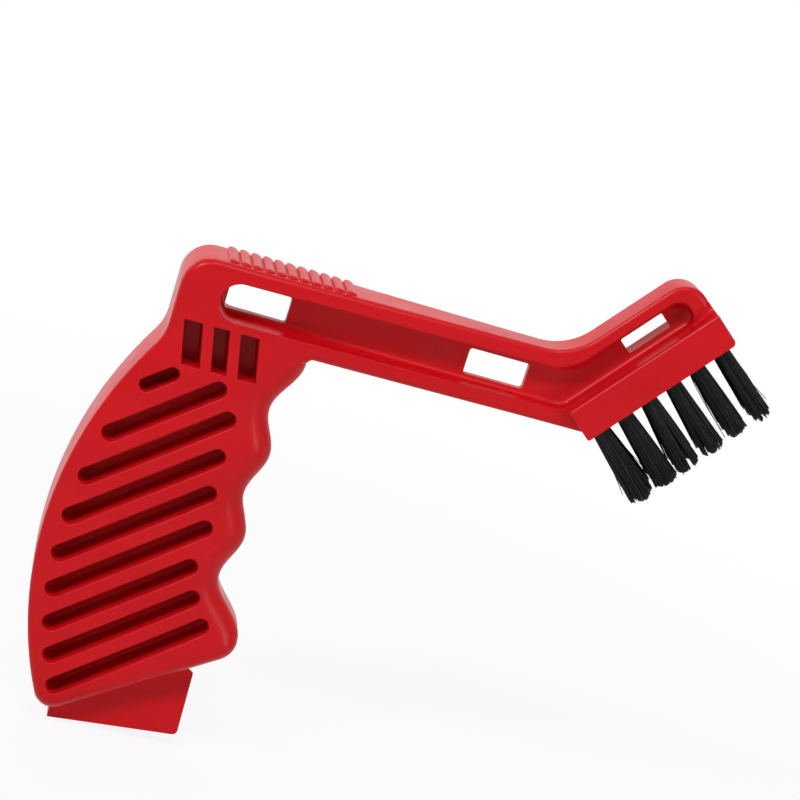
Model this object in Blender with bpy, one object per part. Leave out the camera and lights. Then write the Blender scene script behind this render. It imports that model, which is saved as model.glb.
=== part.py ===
"""Pad cleaning brush: a moulded one-piece handle, eighteen bristle tufts and the anchors that hold them.

The frame has +X along the arm towards the brush head, +Y through the thickness and +Z up, so the thumb
ribs are on top. The origin is the middle of the grip. Lengths are in metres and angles in radians.
"""
import math
import random

import bmesh
import bpy
from mathutils import Matrix, Vector

# Whole handle
GRIP_THICKNESS = 0.0240
NECK_THICKNESS = 0.0134
TAPER_START = 0.0110
TAPER_END = 0.1080
WEB_THICKNESS = 0.0026
CUT_OVERRUN = 0.0040
JOINT_BITE = 0.0020

# Arm: a beam with a channel along both sides
ARM_RISE = 0.0518
ARM_HEIGHT = 0.0229
ARM_REACH = 0.1126
ARM_BACK = 0.0107
ARM_CORNER_RADIUS = 0.0095
ARM_FLANGE = 0.0053
BEND_RADIUS = 0.0200
CHANNEL_BACK_WALL = 0.0129
CHANNEL_BEND_RADIUS = 0.0150
CHANNEL_END_RADIUS = 0.0050

# Head: the arm's beam turned up, with the brush block along its lower side
HEAD_ANGLE = math.radians(50.3)
HEAD_REACH = 0.0444
HEAD_DEPTH = 0.0244
HEAD_FLANGE = 0.0041
HEAD_END_WALL = 0.0060
HEAD_END_RADIUS = 0.0080
BLOCK_LENGTH = 0.0550
BLOCK_WIDTH = 0.0250
BLOCK_HEIGHT = 0.0116
BLOCK_CORNER_RADIUS = 0.0020
LEDGE_RISE = 0.0012

# Grip: an arc at the back, finger grooves in front, a slanted underside
BACK_REACH = 0.0307
BACK_RADIUS = 0.1280
BACK_DROP = 0.0210
NAPE_RADIUS = 0.0150
HEEL_RADIUS = 0.0060
UNDERSIDE_ANGLE = math.radians(32.0)
ROOT_REACH = 0.0336
ROOT_LENGTH = 0.0033
ROOT_RADIUS = 0.0016
FIRST_GROOVE_DROP = 0.0160
GROOVE_PITCH = 0.0280
GROOVE_COUNT = 3
GROOVE_DEPTH = 0.0043
FRONT_REACH = 0.0313
TOE_REACH = 0.0386
TOE_DROP = 0.0198
TOE_RADIUS = 0.0080

# Rounding of the long edges
ARM_ROUNDING = 0.0012
BACK_ROUNDING = 0.0028
UNDERSIDE_ROUNDING = 0.0048
FRONT_ROUNDING = 0.0060

# Windows right through the web
ARM_WINDOW_LENGTH = 0.0196
ARM_WINDOW_HEIGHT = 0.0084
WINDOW_CORNER = 0.0010
BACK_WINDOW_GAP = 0.0025
FRONT_WINDOW_SETBACK = 0.0306
HEAD_WINDOW_LENGTH = 0.0152
HEAD_WINDOW_HEIGHT = 0.0054
HEAD_WINDOW_GAP = 0.0015
HEAD_WINDOW_SETBACK = 0.0080

# Blind pockets on both sides of the grip
POCKET_WIDTHS = (0.0057, 0.0048, 0.0057)
POCKET_PITCH = 0.0089
FIRST_POCKET_SETBACK = 0.0022
POCKET_HEIGHT = 0.01375
POCKET_LEAN = 0.0028
POCKET_CEILING = 0.0028
SLOT_ANGLE = math.radians(38.0)
SLOT_PITCH = 0.00992
SLOT_TOP_OFFSET = 0.0321
SLOT_WIDTH = 0.0055
TOP_SLOT_WIDTH = 0.0045
SLOT_BACK_MARGIN = 0.0075
SLOT_FRONT_SHARES = (-0.17, 0.30, 0.47, 0.48, 0.50, 0.56, 0.53, 0.64, 0.81)

# Thumb ribs across the top of the arm
RIB_COUNT = 11
RIB_PITCH = 0.00372
RIB_START = 0.0016
RIB_HEIGHT = 0.0013
RIB_SPAN = 0.0200
RIB_PROFILE_SHARES = ((0.08, 0.45), (0.22, 0.90), (0.45, 1.00), (0.72, 0.80), (1.00, 0.40))

# Spur under the grip, for woollen pads
SPUR_THICKNESS = 0.0100
SPUR_FRONT = 0.0289
SPUR_BACK = 0.0125
SPUR_DROP = 0.0794
SPUR_SLOPE = math.radians(6.0)
SPUR_CORNER = 0.0015
SPUR_FACET_LOW = 0.0022
SPUR_FACET_ANGLE = math.radians(30.0)
SPUR_FACET_EDGE = 0.0030
SPUR_FACET_HEIGHT = 0.0160

# Tufts: bundles of bristles folded round an anchor in a blind hole
TUFT_ROWS = 3
TUFT_COLUMNS = 6
TUFT_PITCH = 0.0090
ROW_PITCH = 0.0075
HOLE_RADIUS = 0.0025
HOLE_DEPTH = 0.0070
FIT_CLEARANCE = 0.0003
BRISTLE_LENGTH = 0.0276
BRISTLE_RADIUS = 0.00036
BRISTLE_RING_COUNTS = (1, 7, 14)
BRISTLE_RING_SHARES = (0.0, 0.41, 0.80)
TIP_ALONG_SHARE = 2.05
TIP_ACROSS_SHARE = 1.35
TIP_JITTER = 0.00018
LENGTH_JITTER = 0.0009
ANCHOR_THICKNESS = 0.0005
ANCHOR_HEIGHT = 0.0018
ANCHOR_COVER = 0.0011

# How finely curves are divided
ARC_STEP = math.radians(15.0)
BACK_STEPS = 10
GROOVE_STEPS = 6
ROUNDING_STEPS = 2
ROUNDING_EASES = 4
HOLE_SIDES = 12

# Places that several shapes share
ARM_TOP = ARM_RISE + ARM_HEIGHT
CHANNEL_FLOOR = ARM_RISE + ARM_FLANGE
CHANNEL_CEILING = ARM_TOP - ARM_FLANGE
HALF_GRIP = GRIP_THICKNESS / 2
HALF_WEB = WEB_THICKNESS / 2
BLOCK_START = HEAD_REACH - BLOCK_LENGTH
BLOCK_TOP_DEPTH = HEAD_DEPTH - BLOCK_HEIGHT
HEAD_ALONG = Vector((math.cos(HEAD_ANGLE), math.sin(HEAD_ANGLE)))
HEAD_DOWN = Vector((math.sin(HEAD_ANGLE), -math.cos(HEAD_ANGLE)))
BEND_CORNER = Vector((ARM_REACH, ARM_TOP))
BACK_CENTRE = Vector((BACK_RADIUS - BACK_REACH, -BACK_DROP))


# Plane geometry, in X and Z

def head_point(along, depth):
    """A point of the head, measured along its top edge from the bend and square down from that edge."""
    return BEND_CORNER + HEAD_ALONG * along + HEAD_DOWN * depth


def arc(centre, radius, start, end):
    """Points on an arc from one angle to another, both ends included."""
    steps = max(2, math.ceil(abs(end - start) / ARC_STEP))
    angles = [start + (end - start) * step / steps for step in range(steps + 1)]
    return [centre + Vector((math.cos(angle), math.sin(angle))) * radius for angle in angles]


def rounded_corner(before, corner, after, radius):
    """Points of the arc that touches the two lines meeting at a corner."""
    back = (before - corner).normalized()
    ahead = (after - corner).normalized()
    half = back.angle(ahead) / 2
    centre = corner + (back + ahead).normalized() * (radius / math.sin(half))
    first = corner + back * (radius / math.tan(half)) - centre
    last = corner + ahead * (radius / math.tan(half)) - centre
    start = math.atan2(first.y, first.x)
    turn = (math.atan2(last.y, last.x) - start + math.pi) % math.tau - math.pi
    return arc(centre, radius, start, start + turn)


def rounded_polygon(points, radii):
    """A closed outline whose corners are rounded, each with its own radius."""
    outline = []
    for index, corner in enumerate(points):
        before, after = points[index - 1], points[(index + 1) % len(points)]
        outline += rounded_corner(before, corner, after, radii[index]) if radii[index] else [corner]
    return outline


def line_meets_circle(point, direction, centre, radius):
    """The first place along a line, from a point, where it meets a circle from inside."""
    offset = point - centre
    reach = -offset.dot(direction)
    return point + direction * (reach + math.sqrt(reach ** 2 - offset.length_squared + radius ** 2))


# Outline of the grip, the arm and the head's beam

def grip_front():
    """The finger grooves from the toe up to the arm: smooth waves between each crest and valley."""
    crest_z = ARM_RISE - ROOT_LENGTH
    extremes = [(ROOT_REACH, crest_z)]
    valley_z = crest_z - FIRST_GROOVE_DROP
    for groove in range(GROOVE_COUNT):
        extremes.append((FRONT_REACH - GROOVE_DEPTH, valley_z))
        if groove < GROOVE_COUNT - 1:
            extremes.append((FRONT_REACH, valley_z - GROOVE_PITCH / 2))
            valley_z -= GROOVE_PITCH
    extremes.append((TOE_REACH, valley_z - TOE_DROP))
    extremes.reverse()
    points = []
    for (x0, z0), (x1, z1) in zip(extremes, extremes[1:]):
        for step in range(1, GROOVE_STEPS + 1):
            share = step / GROOVE_STEPS
            ease = (1 - math.cos(math.pi * share)) / 2
            points.append(Vector((x0 + (x1 - x0) * ease, z0 + (z1 - z0) * share)))
    return points, Vector(extremes[0])


def grip_underside(toe):
    """The heel's arc, the slanted underside and the toe's arc, from back to front."""
    toe_centre = toe - Vector((TOE_RADIUS, 0))
    slope = Vector((-math.cos(UNDERSIDE_ANGLE), -math.sin(UNDERSIDE_ANGLE)))
    normal = Vector((math.sin(UNDERSIDE_ANGLE), -math.cos(UNDERSIDE_ANGLE)))
    inset_start = toe_centre + normal * (TOE_RADIUS - HEEL_RADIUS)
    heel_centre = line_meets_circle(inset_start, slope, BACK_CENTRE, BACK_RADIUS - HEEL_RADIUS)
    outward = heel_centre - BACK_CENTRE
    heel_start = math.atan2(outward.y, outward.x) % math.tau
    heel_end = math.atan2(normal.y, normal.x) % math.tau
    toe_end = math.tau
    return arc(heel_centre, HEEL_RADIUS, heel_start, heel_end) + arc(toe_centre, TOE_RADIUS, heel_end, toe_end)


def grip_back(heel):
    """The upright back of the arm, the nape's hollow arc and the long arc of the back, going down."""
    nape_x = -ARM_BACK - NAPE_RADIUS
    reach = BACK_RADIUS + NAPE_RADIUS
    nape = Vector((nape_x, BACK_CENTRE.y + math.sqrt(reach ** 2 - (nape_x - BACK_CENTRE.x) ** 2)))
    inward = BACK_CENTRE - nape
    points = arc(nape, NAPE_RADIUS, 0, math.atan2(inward.y, inward.x))
    outward = nape - BACK_CENTRE
    start = math.atan2(outward.y, outward.x)
    down = heel - BACK_CENTRE
    end = math.atan2(down.y, down.x) % math.tau
    for step in range(1, BACK_STEPS):
        angle = start + (end - start) * step / BACK_STEPS
        points.append(BACK_CENTRE + Vector((math.cos(angle), math.sin(angle))) * BACK_RADIUS)
    return points


def body_outline():
    """The stretches of the beam's and the grip's outline, counter-clockwise, each with its edge rounding."""
    front, toe = grip_front()
    underside = grip_underside(toe)
    back = grip_back(underside[0])
    past_end = head_point(HEAD_REACH + CUT_OVERRUN, 0)
    inside_end = head_point(HEAD_REACH + CUT_OVERRUN, BLOCK_TOP_DEPTH + BLOCK_HEIGHT / 2)
    inside_start = head_point(BLOCK_START + BLOCK_HEIGHT / 2, BLOCK_TOP_DEPTH + BLOCK_HEIGHT / 2)
    block_corner = head_point(BLOCK_START, HEAD_DEPTH)
    arm_end = Vector((block_corner.x, ARM_RISE))
    root = Vector((ROOT_REACH, ARM_RISE))
    upper_root = front[-1]
    corner = Vector((-ARM_BACK, ARM_TOP))
    return [
        (rounded_corner(upper_root, root, arm_end, ROOT_RADIUS), ARM_ROUNDING),
        ([arm_end, inside_start, inside_end, past_end], ARM_ROUNDING),
        (rounded_corner(past_end, BEND_CORNER, corner, BEND_RADIUS), ARM_ROUNDING),
        (rounded_corner(BEND_CORNER, corner, back[0], ARM_CORNER_RADIUS), ARM_ROUNDING),
        (back, BACK_ROUNDING),
        (underside, UNDERSIDE_ROUNDING),
        (front, FRONT_ROUNDING),
    ]


def half_thickness(x):
    """Half the handle's thickness: even over the grip, then closing in towards the neck."""
    share = min(max((x - TAPER_START) / (TAPER_END - TAPER_START), 0), 1)
    return HALF_GRIP + (NECK_THICKNESS / 2 - HALF_GRIP) * share


# Solids

def mesh_object(name, bm):
    """Turns a bmesh into an object, with its faces pointing out."""
    bmesh.ops.recalc_face_normals(bm, faces=bm.faces)
    mesh = bpy.data.meshes.new(name)
    bm.to_mesh(mesh)
    bm.free()
    item = bpy.data.objects.new(name, mesh)
    bpy.context.scene.collection.objects.link(item)
    return item


def add_prism(bm, outline, low_y, high_y):
    """Adds an upright outline in X and Z, drawn out along Y, as one closed body."""
    low = [bm.verts.new((point.x, low_y, point.y)) for point in outline]
    high = [bm.verts.new((point.x, high_y, point.y)) for point in outline]
    bm.faces.new(low)
    bm.faces.new(list(reversed(high)))
    for index in range(len(outline)):
        after = (index + 1) % len(outline)
        bm.faces.new((low[index], low[after], high[after], high[index]))


def prism(name, outline, low_y, high_y):
    """One closed body drawn out along Y."""
    bm = bmesh.new()
    add_prism(bm, outline, low_y, high_y)
    return mesh_object(name, bm)


def side_cutter(name, outlines):
    """Bodies that cut the same pockets into both sides of the web."""
    bm = bmesh.new()
    outer = max(HALF_GRIP, BLOCK_WIDTH / 2) + CUT_OVERRUN
    for outline in outlines:
        add_prism(bm, outline, -outer, -HALF_WEB)
        add_prism(bm, outline, HALF_WEB, outer)
    return mesh_object(name, bm)


def combine(target, other, operation):
    """Cuts a body with another, or joins the two, and removes the other."""
    modifier = target.modifiers.new(operation.lower(), "BOOLEAN")
    modifier.operation = operation
    modifier.solver = "EXACT"
    modifier.object = other
    result = bpy.data.meshes.new_from_object(target.evaluated_get(bpy.context.evaluated_depsgraph_get()))
    target.modifiers.remove(modifier)
    target.data = result
    bpy.data.objects.remove(other)


def outline_normals(points):
    """The outward mitre at each point of a counter-clockwise outline."""
    normals = []
    for index, point in enumerate(points):
        before = (point - points[index - 1]).normalized()
        after = (points[(index + 1) % len(points)] - point).normalized()
        first, second = Vector((before.y, -before.x)), Vector((after.y, -after.x))
        middle = (first + second).normalized()
        normals.append(middle / middle.dot(first))
    return normals


def handle_body():
    """The slab of the grip and the beam, with its long edges rounded and its arm tapered."""
    points, roundings = [], []
    for stretch, rounding in body_outline():
        points += stretch
        roundings += [rounding] * len(stretch)
    # The rounding changes evenly from one stretch to the next
    for _ in range(ROUNDING_EASES):
        count = len(roundings)
        roundings = [(roundings[i - 1] + roundings[i] + roundings[(i + 1) % count]) / 3 for i in range(count)]
    normals = outline_normals(points)
    turns = [math.pi / 2 * step / ROUNDING_STEPS for step in range(ROUNDING_STEPS + 1)]
    levels = [(turn, 1) for turn in reversed(turns)] + [(turn, -1) for turn in turns]
    bm = bmesh.new()
    rings = []
    for turn, side in levels:
        ring = []
        for point, normal, rounding in zip(points, normals, roundings):
            place = point - normal * (rounding * (1 - math.cos(turn)))
            ring.append(bm.verts.new((place.x, side * (HALF_GRIP - rounding * (1 - math.sin(turn))), place.y)))
        rings.append(ring)
    for upper, lower in zip(rings, rings[1:]):
        for index in range(len(points)):
            after = (index + 1) % len(points)
            bm.faces.new((upper[index], upper[after], lower[after], lower[index]))
    bm.faces.new(rings[0])
    bm.faces.new(list(reversed(rings[-1])))
    for x in (TAPER_START, TAPER_END):
        everything = bm.verts[:] + bm.edges[:] + bm.faces[:]
        bmesh.ops.bisect_plane(bm, geom=everything, plane_co=(x, 0, 0), plane_no=(1, 0, 0))
    for vertex in bm.verts:
        thinner = HALF_GRIP - half_thickness(vertex.co.x)
        vertex.co.y -= math.copysign(thinner, vertex.co.y)
    return mesh_object("handle", bm)


def channel_outline():
    """The channel between the flanges, from its round back end to its end in the head."""
    back_radius = (CHANNEL_CEILING - CHANNEL_FLOOR) / 2
    back_x = CHANNEL_BACK_WALL - ARM_BACK + back_radius
    middle_z = (CHANNEL_CEILING + CHANNEL_FLOOR) / 2
    floor_start = head_point(BLOCK_START, BLOCK_TOP_DEPTH)
    floor_end = Vector((floor_start.x + JOINT_BITE, CHANNEL_FLOOR))
    inner_depth = BLOCK_TOP_DEPTH + JOINT_BITE
    end_along = HEAD_REACH - HEAD_END_WALL
    end_low = head_point(end_along, inner_depth)
    end_high = head_point(end_along, HEAD_FLANGE)
    head_start = head_point(BLOCK_START + JOINT_BITE + inner_depth, inner_depth)
    bend_along = (CHANNEL_CEILING - BEND_CORNER.y - HEAD_DOWN.y * HEAD_FLANGE) / HEAD_ALONG.y
    bend = head_point(bend_along, HEAD_FLANGE)
    back_top = Vector((back_x, CHANNEL_CEILING))
    outline = [floor_end, head_start, end_low]
    outline += rounded_corner(end_low, end_high, bend, CHANNEL_END_RADIUS)
    outline += rounded_corner(end_high, bend, back_top, CHANNEL_BEND_RADIUS)
    outline += arc(Vector((back_x, middle_z)), back_radius, math.pi / 2, math.pi * 3 / 2)
    return outline


def brush_block():
    """The wide block that holds the tufts, with a ledge that rises from its two ridges to the web."""
    half = BLOCK_WIDTH / 2
    section = [
        (-half, HEAD_DEPTH), (half, HEAD_DEPTH), (half, BLOCK_TOP_DEPTH),
        (HALF_WEB, BLOCK_TOP_DEPTH - LEDGE_RISE), (-HALF_WEB, BLOCK_TOP_DEPTH - LEDGE_RISE),
        (-half, BLOCK_TOP_DEPTH),
    ]
    bm = bmesh.new()
    ends = []
    for along in (BLOCK_START, HEAD_REACH + CUT_OVERRUN):
        places = [(head_point(along, depth), y) for y, depth in section]
        ends.append([bm.verts.new((place.x, y, place.y)) for place, y in places])
    bm.faces.new(ends[0])
    bm.faces.new(list(reversed(ends[1])))
    for index in range(len(section)):
        after = (index + 1) % len(section)
        bm.faces.new((ends[0][index], ends[0][after], ends[1][after], ends[1][index]))
    lower_back_edge = bm.edges.get((ends[0][0], ends[0][1]))
    bmesh.ops.bevel(bm, geom=[lower_back_edge], offset=BLOCK_CORNER_RADIUS, segments=3,
                    affect="EDGES", profile=0.5)
    return mesh_object("brush_block", bm)


def head_end_cutter():
    """Everything past the head's end face, whose two corners are rounded."""
    top = head_point(HEAD_REACH, 0)
    bottom = head_point(HEAD_REACH, HEAD_DEPTH)
    far = CUT_OVERRUN + JOINT_BITE
    outline = [head_point(HEAD_REACH - HEAD_END_RADIUS, -far)]
    outline.append(head_point(HEAD_REACH + far, -far))
    outline.append(head_point(HEAD_REACH + far, HEAD_DEPTH + far))
    outline.append(head_point(HEAD_REACH - BLOCK_CORNER_RADIUS, HEAD_DEPTH + far))
    outline += rounded_corner(head_point(0, HEAD_DEPTH), bottom, top, BLOCK_CORNER_RADIUS)
    outline += rounded_corner(bottom, top, BEND_CORNER, HEAD_END_RADIUS)
    outer = BLOCK_WIDTH / 2 + CUT_OVERRUN
    return prism("head_end", outline, -outer, outer)


def thumb_ribs():
    """Scalloped ribs across the top of the arm, as one strip whose foot is sunk in the arm."""
    outline = [Vector((RIB_START, ARM_TOP - JOINT_BITE))]
    end = Vector((RIB_START + RIB_COUNT * RIB_PITCH, ARM_TOP - JOINT_BITE))
    top = []
    for rib in range(RIB_COUNT):
        start = RIB_START + rib * RIB_PITCH
        for along_share, height_share in RIB_PROFILE_SHARES:
            top.append(Vector((start + RIB_PITCH * along_share, ARM_TOP + RIB_HEIGHT * height_share)))
    outline.append(end)
    outline += reversed(top)
    return prism("thumb_ribs", outline, -RIB_SPAN / 2, RIB_SPAN / 2)


def spur():
    """The tapered spur under the grip, with a facet on each side of its front edge."""
    front_foot = Vector((SPUR_FRONT, -SPUR_DROP))
    slope = math.tan(SPUR_SLOPE)
    back_foot = Vector((-SPUR_BACK, -SPUR_DROP - (SPUR_FRONT + SPUR_BACK) * slope))
    front, toe = grip_front()
    underside = grip_underside(toe)
    heel_low = min(underside, key=lambda point: point.y)
    front_top = Vector((SPUR_FRONT, toe.y))
    back_top = Vector((-SPUR_BACK, heel_low.y + HEEL_RADIUS))
    outline = rounded_corner(back_foot, front_foot, front_top, SPUR_CORNER) + [front_top, back_top, back_foot]
    bm = bmesh.new()
    half = SPUR_THICKNESS / 2
    add_prism(bm, outline, -half, half)
    along = Vector((-math.cos(SPUR_FACET_ANGLE), 0, math.sin(SPUR_FACET_ANGLE)))
    for side in (-1, 1):
        low = Vector((SPUR_FRONT - SPUR_FACET_LOW, side * half, -SPUR_DROP))
        edge = Vector((SPUR_FRONT, side * SPUR_FACET_EDGE, -SPUR_DROP + SPUR_FACET_HEIGHT))
        normal = along.cross(edge - low)
        if normal.y * side < 0:
            normal.negate()
        everything = bm.verts[:] + bm.edges[:] + bm.faces[:]
        bmesh.ops.bisect_plane(bm, geom=everything, plane_co=low, plane_no=normal, clear_outer=True)
        bmesh.ops.holes_fill(bm, edges=bm.edges)
    return mesh_object("spur", bm)


def windows():
    """The two windows in the arm's web and the one in the head's, as through cutters."""
    middle_z = (CHANNEL_FLOOR + CHANNEL_CEILING) / 2
    low, high = middle_z - ARM_WINDOW_HEIGHT / 2, middle_z + ARM_WINDOW_HEIGHT / 2
    back_start = CHANNEL_BACK_WALL - ARM_BACK + BACK_WINDOW_GAP
    front_start = ARM_REACH - FRONT_WINDOW_SETBACK
    bm = bmesh.new()
    for start in (back_start, front_start):
        end = start + ARM_WINDOW_LENGTH
        corners = [Vector((start, low)), Vector((end, low)), Vector((end, high)), Vector((start, high))]
        add_prism(bm, rounded_polygon(corners, [WINDOW_CORNER] * 4), -HALF_GRIP, HALF_GRIP)
    end = HEAD_REACH - HEAD_END_WALL - HEAD_WINDOW_SETBACK
    start = end - HEAD_WINDOW_LENGTH
    top = HEAD_FLANGE + HEAD_WINDOW_GAP
    bottom = top + HEAD_WINDOW_HEIGHT
    corners = [head_point(start, bottom), head_point(end, bottom), head_point(end, top), head_point(start, top)]
    add_prism(bm, rounded_polygon(corners, [WINDOW_CORNER] * 4), -HALF_GRIP, HALF_GRIP)
    return mesh_object("windows", bm)


def slot_outlines():
    """The slanted slots with round ends, from just inside the back towards the finger grooves."""
    along = Vector((math.cos(SLOT_ANGLE), math.sin(SLOT_ANGLE)))
    across = Vector((-along.y, along.x))
    outlines = []
    for index, front_share in enumerate(SLOT_FRONT_SHARES):
        line = across * (SLOT_TOP_OFFSET - index * SLOT_PITCH)
        reach = (FRONT_REACH * front_share - line.x) / along.x
        front = line + along * reach
        inset = Vector((SLOT_BACK_MARGIN, 0))
        back = line_meets_circle(line - inset, -along, BACK_CENTRE, BACK_RADIUS) + inset
        radius = (SLOT_WIDTH if index else TOP_SLOT_WIDTH) / 2
        outline = arc(front, radius, SLOT_ANGLE - math.pi / 2, SLOT_ANGLE + math.pi / 2)
        outline += arc(back, radius, SLOT_ANGLE + math.pi / 2, SLOT_ANGLE + math.pi * 3 / 2)
        outlines.append(outline)
    return outlines


def pocket_outlines():
    """The three leaning rectangular pockets under the channel."""
    top = CHANNEL_FLOOR - POCKET_CEILING
    lean = Vector((POCKET_LEAN, 0)) / 2
    outlines = []
    for index, width in enumerate(POCKET_WIDTHS):
        middle = Vector((index * POCKET_PITCH - FIRST_POCKET_SETBACK, top - POCKET_HEIGHT / 2))
        half_width, half_height = Vector((width / 2, 0)), Vector((0, POCKET_HEIGHT / 2))
        outlines.append([
            middle - half_width - half_height + lean, middle + half_width - half_height + lean,
            middle + half_width + half_height - lean, middle - half_width + half_height - lean,
        ])
    return outlines


# Tufts, their holes and their anchors

def tuft_frame(row, column):
    """The place of a tuft: its origin in the bristle face, its +X along the head, its +Z out of the block."""
    side_wall = (BLOCK_LENGTH - (TUFT_COLUMNS - 1) * TUFT_PITCH) / 2
    place = head_point(BLOCK_START + side_wall + column * TUFT_PITCH, HEAD_DEPTH)
    y = (row - (TUFT_ROWS - 1) / 2) * ROW_PITCH
    x_axis = Vector((HEAD_ALONG.x, 0, HEAD_ALONG.y))
    z_axis = Vector((HEAD_DOWN.x, 0, HEAD_DOWN.y))
    turn = Matrix((x_axis, z_axis.cross(x_axis), z_axis)).transposed()
    return Matrix.Translation((place.x, y, place.y)) @ turn.to_4x4()


def tuft_holes():
    """A blind hole for each tuft."""
    bm = bmesh.new()
    for row in range(TUFT_ROWS):
        for column in range(TUFT_COLUMNS):
            depth = HOLE_DEPTH + CUT_OVERRUN
            place = tuft_frame(row, column) @ Matrix.Translation((0, 0, CUT_OVERRUN - depth / 2))
            bmesh.ops.create_cone(bm, cap_ends=True, segments=HOLE_SIDES, radius1=HOLE_RADIUS,
                                  radius2=HOLE_RADIUS, depth=depth, matrix=place)
    return mesh_object("tuft_holes", bm)


def add_box(bm, low, high):
    """Adds a box between two corners."""
    size = Vector(high) - Vector(low)
    middle = (Vector(high) + Vector(low)) / 2
    bmesh.ops.create_cube(bm, size=1, matrix=Matrix.Translation(middle) @ Matrix.Diagonal((*size, 1)))


def anchor_depths():
    """How deep the anchor's upper and lower edges lie below the bristle face."""
    deep = HOLE_DEPTH - FIT_CLEARANCE - ANCHOR_COVER
    return deep, deep - ANCHOR_HEIGHT


def bristles(root_radius, chance):
    """Three-sided bristles that fan out from the root, none touching another."""
    bm = bmesh.new()
    for count, ring_share in zip(BRISTLE_RING_COUNTS, BRISTLE_RING_SHARES):
        for index in range(count):
            turn = math.tau * (index + 0.5) / count
            foot = Vector((math.cos(turn), math.sin(turn), 0)) * (root_radius * ring_share)
            tip = Vector((foot.x * TIP_ALONG_SHARE, foot.y * TIP_ACROSS_SHARE, BRISTLE_LENGTH))
            tip.x += chance.uniform(-TIP_JITTER, TIP_JITTER)
            tip.y += chance.uniform(-TIP_JITTER, TIP_JITTER)
            tip.z -= chance.uniform(0, LENGTH_JITTER)
            below = foot - (tip - foot) * (FIT_CLEARANCE / BRISTLE_LENGTH)
            ends = []
            for end in (below, tip):
                corners = [turn + math.tau * corner / 3 for corner in range(3)]
                ring = [end + Vector((math.cos(angle), math.sin(angle), 0)) * BRISTLE_RADIUS for angle in corners]
                ends.append([bm.verts.new(place) for place in ring])
            bm.faces.new(ends[0])
            bm.faces.new(list(reversed(ends[1])))
            for corner in range(3):
                after = (corner + 1) % 3
                bm.faces.new((ends[0][corner], ends[0][after], ends[1][after], ends[1][corner]))
    return mesh_object("bristles", bm)


def make_tuft(name, row, column, made):
    """A tuft: its folded root in the hole, open round the anchor, and its fanned bristles."""
    root_radius = HOLE_RADIUS - FIT_CLEARANCE
    root_length = HOLE_DEPTH - FIT_CLEARANCE
    bm = bmesh.new()
    bmesh.ops.create_cone(bm, cap_ends=True, segments=HOLE_SIDES, radius1=root_radius, radius2=root_radius,
                          depth=root_length, matrix=Matrix.Translation((0, 0, -root_length / 2)))
    tuft = mesh_object(name, bm)
    deep, shallow = anchor_depths()
    gap = ANCHOR_THICKNESS / 2 + FIT_CLEARANCE
    bm = bmesh.new()
    add_box(bm, (-HOLE_RADIUS, -gap, -deep - FIT_CLEARANCE), (HOLE_RADIUS, gap, -shallow + FIT_CLEARANCE))
    combine(tuft, mesh_object("anchor_gap", bm), "DIFFERENCE")
    chance = random.Random(row * TUFT_COLUMNS + column)
    combine(tuft, bristles(root_radius, chance), "UNION")
    tuft.matrix_world = tuft_frame(row, column)
    dress(tuft, made)
    return tuft


def make_anchor(name, row, column, made):
    """The flat wire anchor that is driven across the hole through the fold of the tuft."""
    deep, shallow = anchor_depths()
    half_length = HOLE_RADIUS - FIT_CLEARANCE
    half = ANCHOR_THICKNESS / 2
    bm = bmesh.new()
    add_box(bm, (-half_length, -half, -deep), (half_length, half, -shallow))
    anchor = mesh_object(name, bm)
    anchor.matrix_world = tuft_frame(row, column)
    dress(anchor, made)
    return anchor


# Materials

def material(name, colour, roughness, metallic=0.0):
    """A plain surface of one colour."""
    made = bpy.data.materials.new(name)
    made.use_nodes = True
    surface = made.node_tree.nodes["Principled BSDF"]
    surface.inputs["Base Color"].default_value = (*colour, 1)
    surface.inputs["Roughness"].default_value = roughness
    surface.inputs["Metallic"].default_value = metallic
    made.diffuse_color = (*colour, 1)
    return made


def dress(item, made):
    """Gives an object its material and smooth shading between its sharp edges."""
    item.data.materials.clear()
    item.data.materials.append(made)
    item.data.shade_smooth()
    item.data.set_sharp_from_angle(angle=math.radians(35.0))


def make_handle(made):
    """The whole moulding: beam, brush block, ribs and spur joined, then its hollows cut."""
    handle = handle_body()
    combine(handle, side_cutter("channel", [channel_outline()]), "DIFFERENCE")
    combine(handle, brush_block(), "UNION")
    combine(handle, head_end_cutter(), "DIFFERENCE")
    combine(handle, thumb_ribs(), "UNION")
    combine(handle, spur(), "UNION")
    combine(handle, windows(), "DIFFERENCE")
    combine(handle, side_cutter("pockets", pocket_outlines() + slot_outlines()), "DIFFERENCE")
    combine(handle, tuft_holes(), "DIFFERENCE")
    dress(handle, made)
    return handle


for leftover in list(bpy.data.objects):
    bpy.data.objects.remove(leftover)

make_handle(material("red_plastic", (0.58, 0.008, 0.014), 0.32))
bristle_material = material("black_bristle", (0.012, 0.012, 0.014), 0.5)
anchor_material = material("anchor_wire", (0.62, 0.60, 0.56), 0.35, metallic=1.0)
for tuft_row in range(TUFT_ROWS):
    for tuft_column in range(TUFT_COLUMNS):
        place_name = "abc"[tuft_row] + str(tuft_column + 1)
        make_tuft("bristle_tuft_" + place_name, tuft_row, tuft_column, bristle_material)
        make_anchor("tuft_anchor_" + place_name, tuft_row, tuft_column, anchor_material)
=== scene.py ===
"""Looks of the pad cleaning brush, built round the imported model.

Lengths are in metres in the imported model's frame: +X along the arm to the head, +Y through the thickness, and
+Z up with the thumb ribs on top. The origin is the middle of the grip.
"""
import math
import random

import bmesh
import bpy
from mathutils import Matrix, Vector
from mathutils.kdtree import KDTree


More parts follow.
